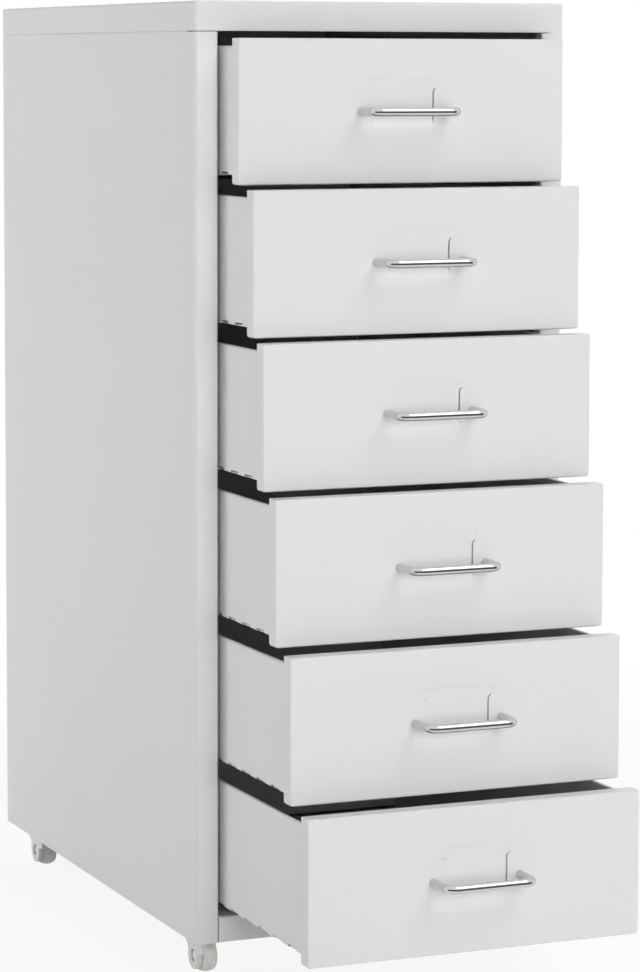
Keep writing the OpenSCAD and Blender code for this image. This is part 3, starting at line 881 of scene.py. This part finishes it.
def tab_outlines(shape):
    """The slit beside a card tab, and the tab's own plate."""
    inner = shape.pocket_width / 2 - 5.7 * MM
    foot = shape.pocket_drop + shape.pocket_height
    top = shape.pocket_drop + 10.5 * MM
    hook = Vector((inner + 1.4 * MM, -top + 2 * MM))
    edge = flat_points((inner, -foot + 4.9 * MM), (inner, -top), hook)
    slit = edge + offset_path(edge, shape.slit_width)[::-1]
    outer, bottom = inner + 7 * MM, -foot - 0.6 * MM
    plate = flat_points((inner, bottom), (outer, bottom), (outer, hook.y), hook, (inner, -top))
    return slit, rounded_loop(plate, [0.2 * MM, 0, 0, 0.5 * MM, 0.8 * MM])


def front_template(shape, sheet):
    """A drawer front in its own frame: face at y = 0, top at z = 0."""
    low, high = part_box("drawer_front_1")
    half_width, height, depth = high.x, high.z - low.z, high.y - low.y
    t = sheet.thickness
    pan = [[across(p.x, p.y, d) for p in ring] for ring, d in pan_rings(
        half_width, height / 2, (0.6 * MM, shape.low_corner),
        pan_profile(depth, shape.fold, t, sheet.edge_round), -height / 2)]
    bm = bmesh.new()
    add_loft(bm, pocket_rings(shape, 0)[::-1] + pan + pocket_rings(shape, t))
    front = make_object("front_template", bm)
    slit, plate = tab_outlines(shape)
    bm = bmesh.new()
    add_pair(bm, slit, -1 * MM, 4 * MM)
    cut_away(front, bm)
    bm = bmesh.new()
    add_pair(bm, plate, 0.015 * MM, t)
    tabs = make_object("tab_template", bm)
    round_edges(tabs, 0.12 * MM)
    return join_meshes(front, tabs)


def join_meshes(target, other):
    """Adds another object's mesh to one and discards it."""
    bm = bmesh.new()
    bm.from_mesh(target.data)
    bm.from_mesh(other.data)
    discard(other)
    bm.to_mesh(target.data)
    bm.free()
    finish_mesh(target.data)
    return target


class CABINET_OT_fronts(Operator):
    """Build the drawer fronts with their folded edges, label pockets and card tabs"""
    bl_idname = "cabinet.fronts"
    bl_label = "Drawer Fronts"

    def execute(self, context):
        template = front_template(settings().front, settings().sheet)
        for n in DRAWERS:
            place_copy(template, n, "drawer_face", "drawer_front", ENAMEL)
        discard(template)
        return {"FINISHED"}


class CABINET_OT_trays(Operator):
    """Build the drawer trays with their rims, stop ears and perforated fold lines"""
    bl_idname = "cabinet.trays"
    bl_label = "Drawer Trays"

    def execute(self, context):
        sheet, tray = settings().sheet, settings().tray
        t = sheet.thickness
        origin = drawer_origin(1)
        low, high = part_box("drawer_tray_1")
        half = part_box("drawer_front_1")[1].x - t
        rim = half - tray.rim_width
        top = -tray.rim_drop
        floor = low.z - origin.z
        back = high.y - origin.y
        start = settings().front.fold
        lip = top - tray.rim_lip
        bm = bmesh.new()
        add_sheet(bm, flat_points(
            (-rim, lip), (-rim, top), (-half, top), (-half, floor),
            (half, floor), (half, top), (rim, top), (rim, lip),
        ), t, sheet.tray_fold, across, start, back)
        body = make_object("tray_template", bm)
        slot_room = back - SLOT_MARGIN - tray.slot_start + tray.slot_pitch - tray.slot_length
        rear_room = 2 * half - 2 * SLOT_MARGIN - tray.slot_length
        run_tree(body, slot_tree(), {
            "Half Width": half, "Back": back, "Floor": floor, "Start": tray.slot_start,
            "Pitch": tray.slot_pitch, "Length": tray.slot_length, "Height": tray.slot_height,
            "Side Count": int(slot_room // tray.slot_pitch),
            "Rear Count": int(rear_room // tray.slot_pitch) + 1, "Material": finish(ENAMEL),
        })
        ear = (EAR_PLACE, EAR_PLACE + t)
        ear_height = (top - EAR_FOOT, top - EAR_TOP)
        bm = bmesh.new()
        for sign in (-1, 1):
            add_side_block(bm, sign, (half - 2 * t, half + t), (ear[1], ear[1] + EAR_WINDOW), ear_height)
        cut_away(body, bm)
        bm = bmesh.new()
        inside = half - t + LAP
        flange = half - sheet.tray_fold
        add_block(bm, (-flange, t, floor), (flange, 2 * t, floor + TAB_HEIGHT))
        add_block(bm, (-flange, t, floor), (flange, start + t, floor + t))
        rear_top = top - 0.4 * MM
        add_sheet(bm, flat_points(
            (back, floor + tray.slot_height), (back, rear_top), (back - REAR_RIM, rear_top),
        ), t, sheet.tray_fold, sideways, -inside, inside)
        for sign in (-1, 1):
            add_side_block(bm, sign, (half - t / 2, half + EAR_REACH), ear, ear_height)
        fittings = make_object("tray_fittings", bm)
        round_edges(fittings, sheet.edge_round)
        join_meshes(body, fittings)
        for n in DRAWERS:
            place_copy(body, n, "drawer_box", "drawer_tray", ENAMEL)
        discard(body)
        return {"FINISHED"}


class CABINET_OT_handles(Operator):
    """Build the bent wire handles and their screws"""
    bl_idname = "cabinet.handles"
    bl_label = "Handles"

    def execute(self, context):
        handle, sheet = settings().handle, settings().sheet
        chrome = finish(CHROME)
        bar = make_object("handle_template", bmesh.new(), chrome)
        run_tree(bar, wire_tree(), {
            "Pitch": handle.pitch, "Reach": handle.reach, "Bend": handle.bend,
            "Wire": handle.wire, "Material": chrome,
        })
        for n in DRAWERS:
            place_copy(bar, n, "handle_bar", "handle", CHROME, handle.drop)
            middle = drawer_origin(n) - Vector((0, 0, handle.drop))
            places = [((sign * handle.pitch / 2, middle.y + sheet.thickness, middle.z), (0, 1, 0))
                      for sign in (-1, 1)]
            fasten(f"handle_bolts_{n}", f"drawer_{n}", places, f"handle_screws_{n}", 8.8, 4, 6.8, 2.4)
        discard(bar)
        return {"FINISHED"}


# ---- Casters ----

class CABINET_OT_casters(Operator):
    """Build the casters: stem, moulded hood, axle and wheel"""
    bl_idname = "cabinet.casters"
    bl_label = "Casters"

    def execute(self, context):
        for n in CASTERS:
            refine(f"caster_fork_{n}", f"caster_hood_{n}", f"caster_{n}", NYLON, 0.35 * MM)
            refine(f"caster_axle_{n}", f"caster_pin_{n}", f"caster_{n}", ZINC, 0.15 * MM)
            refine(f"caster_stem_{n}", f"caster_stud_{n}", CABINET, ZINC, 0.2 * MM)
            low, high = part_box(f"caster_wheel_{n}")
            wheel = wheel_object(f"caster_roller_{n}", (low + high) / 2, high.z - low.z, high.x - low.x)
            dress(wheel, f"wheel_{n}", "grey_tread", f"caster_wheel_{n}")
        return {"FINISHED"}


def wheel_object(name, centre, diameter, width):
    """A moulded barrel wheel with a hub, a dished side and a crowned tread."""
    half = width / 2
    crown = 1.6 * MM
    arc = (half * half + crown * crown) / (2 * crown)
    radius = diameter / 2

    def tread_radius(x):
        return radius - arc + math.sqrt(arc * arc - x * x)

    edge = tread_radius(half)
    bore, hub, dish = 2.08 * MM, 4.6 * MM, 0.8 * MM
    left = [(bore, -half), (hub, -half), (hub + dish, -half + dish), (edge - 2 * MM, -half + dish),
            (edge - 1.2 * MM, -half), (edge - 0.3 * MM, -half)]
    steps = 14
    treads = [(tread_radius(x), x) for x in
              [(-1 + 2 * k / steps) * (half - 0.25 * MM) for k in range(steps + 1)]]
    right = [(r, -h) for r, h in reversed(left)]
    bm = bmesh.new()
    matrix = Matrix.Translation(centre) @ Matrix.Rotation(math.pi / 2, 4, "Y")
    add_turned(bm, left + treads + right, 64, matrix)
    return make_object(name, bm, finish("tread"))


# ---- Stage ----

# Each lamp's place, what it points at, its width, and whether it shows in reflections. Those of the low
# and the top light would bleach the cover's top at a low angle.
FRONT_MIDDLE = (0, -0.2, 0.35)
LAMPS = {
    "key": ((0.9, -2.1, 2.8), FRONT_MIDDLE, 2.0, True),
    "low": ((-0.35, -3.3, 0.65), FRONT_MIDDLE, 1.4, False),
    "side": ((-3.6, 1.9, 0.5), (-0.1, 0, 0.3), 2.0, True),
    "top": ((1.3, 1.3, 2.6), (0, 0, 0.686), 2.0, False),
}
CAMERA_PLACE = (-0.9804, -2.4134, 0.6441)
CAMERA_TURN = (90 - 4.862, -0.107, -22.985)
CAMERA_SHIFT = -0.1349

# Half the floor's width, the radii between which it turns plain white, and how white it is inside them
FLOOR_HALF = 14
FLOOR_FADE = (0.4, 1.3)
FLOOR_WHITE = 0.9

# The dark band before the front: how far it lies below the horizon, between which heights and depths of
# a direction it fades out, and what it leaves of the light
DARK_TILT = 0.05
DARK_HEIGHT = (0.26, 0.44)
DARK_DEPTH = (-0.5, -0.2)
DARK_LEAST = 0.1


def smooth_share(net, value, start, end, low=0.0):
    """The low share below the start, one above the end and smooth between."""
    return net.add("ShaderNodeMapRange", {
        "Value": value, "From Min": start, "From Max": end, "To Min": low}, interpolation_type="SMOOTHSTEP")


def shown_ray(net):
    """One where the ray comes from the camera or from glossy or clear surfaces, and nought elsewhere."""
    path = net.node("ShaderNodeLightPath").outputs
    glossy = net.calc("MAXIMUM", path["Is Camera Ray"], path["Is Glossy Ray"])
    return net.calc("MAXIMUM", glossy, path["Is Transmission Ray"])


def dim_front(net, strength, direction):
    """Dims what glossy rays meet near the horizon in front, for the dark streak along the chrome."""
    split = net.node("ShaderNodeSeparateXYZ", {0: direction}).outputs
    height = net.calc("ABSOLUTE", net.calc("ADD", split["Z"], DARK_TILT))
    outside = smooth_share(net, height, *DARK_HEIGHT)
    behind = smooth_share(net, split["Y"], *DARK_DEPTH)
    other = net.calc("SUBTRACT", 1.0, net.node("ShaderNodeLightPath").outputs["Is Glossy Ray"])
    bright = net.calc("MAXIMUM", net.calc("MAXIMUM", outside, behind), other)
    return net.calc("MULTIPLY", strength, net.calc("MAXIMUM", bright, DARK_LEAST))


class CABINET_OT_stage(Operator):
    """Build the floor, the soft lights, the white surroundings and the camera"""
    bl_idname = "cabinet.stage"
    bl_label = "Stage"

    def execute(self, context):
        stage = settings().stage
        self.make_world(context, stage)
        self.make_floor(stage)
        self.make_lights(stage)
        self.make_camera(context, stage)
        context.scene.view_settings.view_transform = "Standard"
        return {"FINISHED"}

    def make_world(self, context, stage):
        world = bpy.data.worlds.new("surroundings")
        context.scene.world = world
        world.use_nodes = True
        net = Nodes(world.node_tree)
        background = net.nodes["Background"].inputs
        background["Color"].default_value = (1, 1, 1, 1)
        strength = net.add("ShaderNodeMapRange", {"Value": shown_ray(net), "To Min": stage.ambient})
        direction = net.node("ShaderNodeTexCoord").outputs["Generated"]
        net.links.new(dim_front(net, strength, direction), background["Strength"])

    def make_floor(self, stage):
        bm = bmesh.new()
        bmesh.ops.create_grid(bm, x_segments=1, y_segments=1, size=FLOOR_HALF)
        material = bpy.data.materials.new("floor_white")
        material.use_nodes = True
        net = Nodes(material.node_tree)
        shader = net.nodes["Principled BSDF"]
        shader.inputs["Base Color"].default_value = (*stage.floor, 1)
        shader.inputs["Roughness"].default_value = 0.9
        shader.inputs["Specular IOR Level"].default_value = 0.1
        incoming = net.node("ShaderNodeNewGeometry").outputs["Incoming"]
        onward = net.add("ShaderNodeVectorMath", {0: incoming, "Scale": -1.0}, operation="SCALE")
        glow = net.add("ShaderNodeEmission", {"Strength": dim_front(net, 1.0, onward)})
        # Near the casters the floor keeps their shadow, and further out it is plain white
        place = net.node("ShaderNodeTexCoord").outputs["Object"]
        reach = net.node("ShaderNodeVectorMath", {0: place}, operation="LENGTH").outputs["Value"]
        white = smooth_share(net, reach, *FLOOR_FADE, low=FLOOR_WHITE)
        share = net.calc("MULTIPLY", shown_ray(net), white)
        mix = net.add("ShaderNodeMixShader", {"Fac": share, 1: shader.outputs[0], 2: glow})
        net.links.new(mix, net.nodes["Material Output"].inputs["Surface"])
        make_object("floor", bm, material)

    def make_lights(self, stage):
        for name, (place, target, size, reflected) in LAMPS.items():
            lamp = bpy.data.lights.new(f"{name}_light", "AREA")
            lamp.energy = getattr(stage, f"{name}_power")
            lamp.shape = "RECTANGLE"
            lamp.size = lamp.size_y = size
            obj = linked(lamp.name, lamp)
            obj.location = place
            obj.rotation_euler = (Vector(target) - Vector(place)).to_track_quat("-Z", "Y").to_euler()
            obj.visible_glossy = reflected

    def make_camera(self, context, stage):
        camera = bpy.data.cameras.new("camera")
        camera.lens = stage.lens
        camera.sensor_width = 36
        camera.shift_y = CAMERA_SHIFT
        camera.clip_end = 100
        obj = linked("camera", camera)
        obj.location = CAMERA_PLACE
        obj.rotation_euler = [math.radians(angle) for angle in CAMERA_TURN]
        context.scene.camera = obj


# ---- Panel and registration ----

OPERATORS = (
    CABINET_OT_stage, CABINET_OT_cover, CABINET_OT_side_panels, CABINET_OT_panels, CABINET_OT_runners,
    CABINET_OT_screws, CABINET_OT_fronts, CABINET_OT_trays, CABINET_OT_handles, CABINET_OT_casters,
)


class CABINET_PT_sidebar(Panel):
    """Sizes, finishes and build steps of the cabinet"""
    bl_idname = "CABINET_PT_sidebar"
    bl_label = "Drawer Cabinet"
    bl_space_type = "VIEW_3D"
    bl_region_type = "UI"
    bl_category = "Cabinet"

    def draw(self, context):
        layout = self.layout
        for name in CabinetSettings.__annotations__:
            box = layout.box()
            box.label(text=name.capitalize())
            values = getattr(settings(), name)
            for prop in type(values).__annotations__:
                box.prop(values, prop)
        for operator in OPERATORS:
            layout.operator(operator.bl_idname)


CLASSES = (SheetSettings, FrontSettings, TraySettings, HandleSettings, FinishSettings, StageSettings,
           CabinetSettings, *OPERATORS, CABINET_PT_sidebar)


def register():
    for cls in CLASSES:
        bpy.utils.register_class(cls)
    bpy.types.Scene.drawer_cabinet = PointerProperty(type=CabinetSettings)


def unregister():
    del bpy.types.Scene.drawer_cabinet
    for cls in reversed(CLASSES):
        bpy.utils.unregister_class(cls)


def main():
    register()
    bpy.ops.cabinet.stage()
    bpy.ops.cabinet.cover()
    bpy.ops.cabinet.side_panels()
    bpy.ops.cabinet.panels()
    bpy.ops.cabinet.runners()
    bpy.ops.cabinet.screws()
    bpy.ops.cabinet.fronts()
    bpy.ops.cabinet.trays()
    bpy.ops.cabinet.handles()
    bpy.ops.cabinet.casters()


if __name__ == "__main__":
    main()
